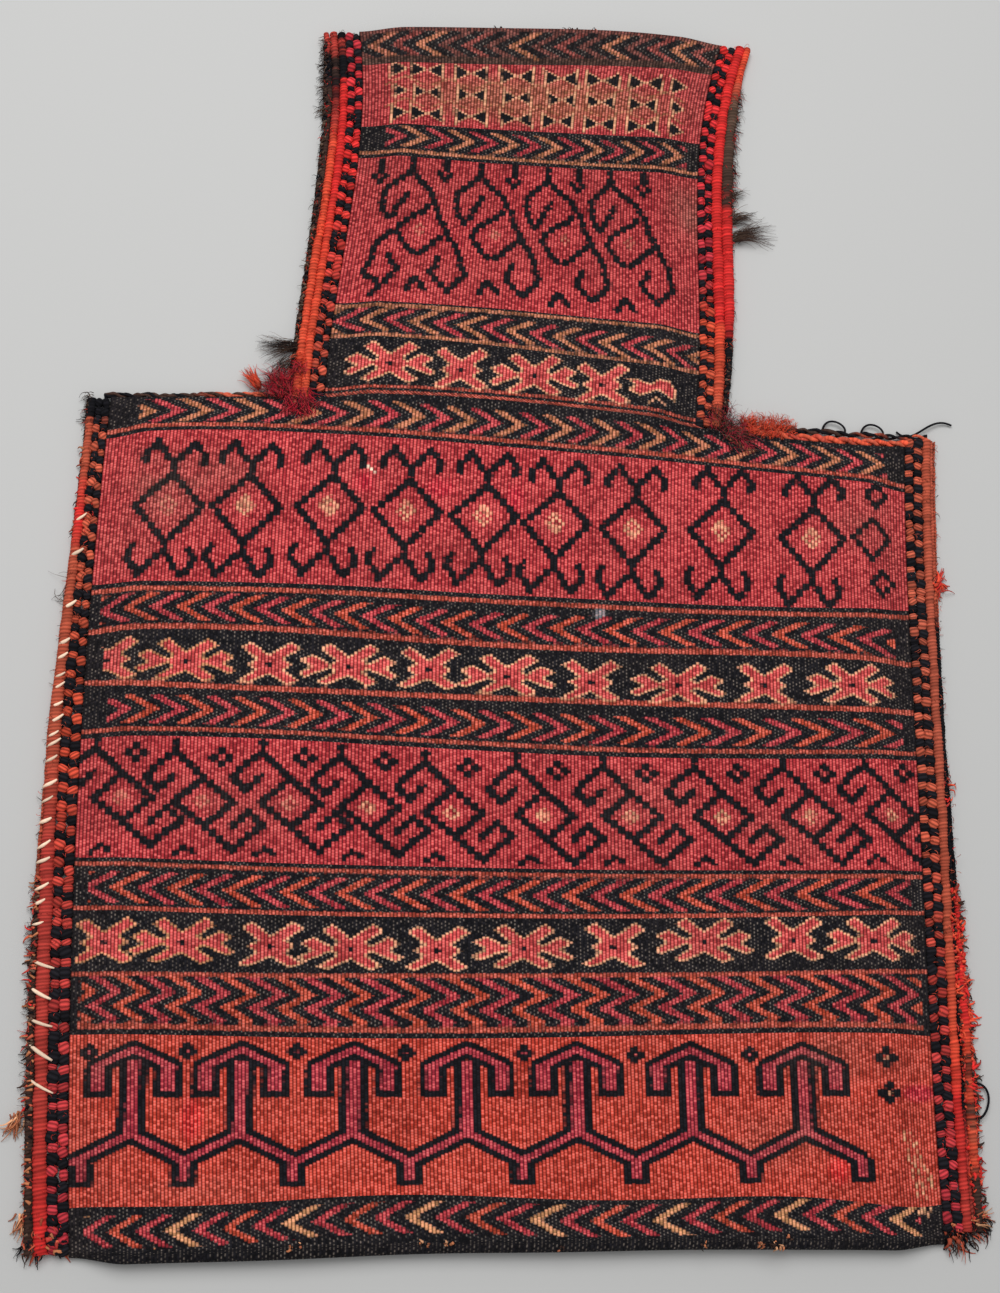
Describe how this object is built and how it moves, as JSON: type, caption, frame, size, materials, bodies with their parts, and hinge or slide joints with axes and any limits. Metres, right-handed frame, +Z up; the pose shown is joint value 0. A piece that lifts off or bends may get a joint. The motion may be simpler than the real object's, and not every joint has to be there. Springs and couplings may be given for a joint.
{
  "type": "woven salt bag",
  "caption": "Flat-woven wool salt bag with a wide pouch and a narrow open neck, folded at the bottom, with check-wrapped bindings and wool cords along its sides.",
  "frame": {"origin": "middle of the bag's outline, on the surface that the back layer rests on", "axes": "+X to the right of the patterned front, +Y along the bag towards the mouth, +Z up through the two layers"},
  "size_m": [0.4528, 0.65, 0.0136],
  "materials": {
    "patterned_wool": "matte weft-faced wool in crimson, black and orange bands",
    "check_wool": "matte wrapped wool, black and orange-red in turn",
    "orange_wool": "soft spun wool"
  },
  "bodies": {
    "root": {"woven_cloth": "patterned_wool", "left_body_checks": "check_wool", "left_body_cord": "orange_wool", "left_neck_checks": "check_wool", "left_neck_cord": "orange_wool", "right_body_checks": "check_wool", "right_body_cord": "orange_wool", "right_neck_checks": "check_wool", "right_neck_cord": "orange_wool", "left_shoulder_cord": "orange_wool", "right_shoulder_cord": "orange_wool"}
  },
  "joints": []
}
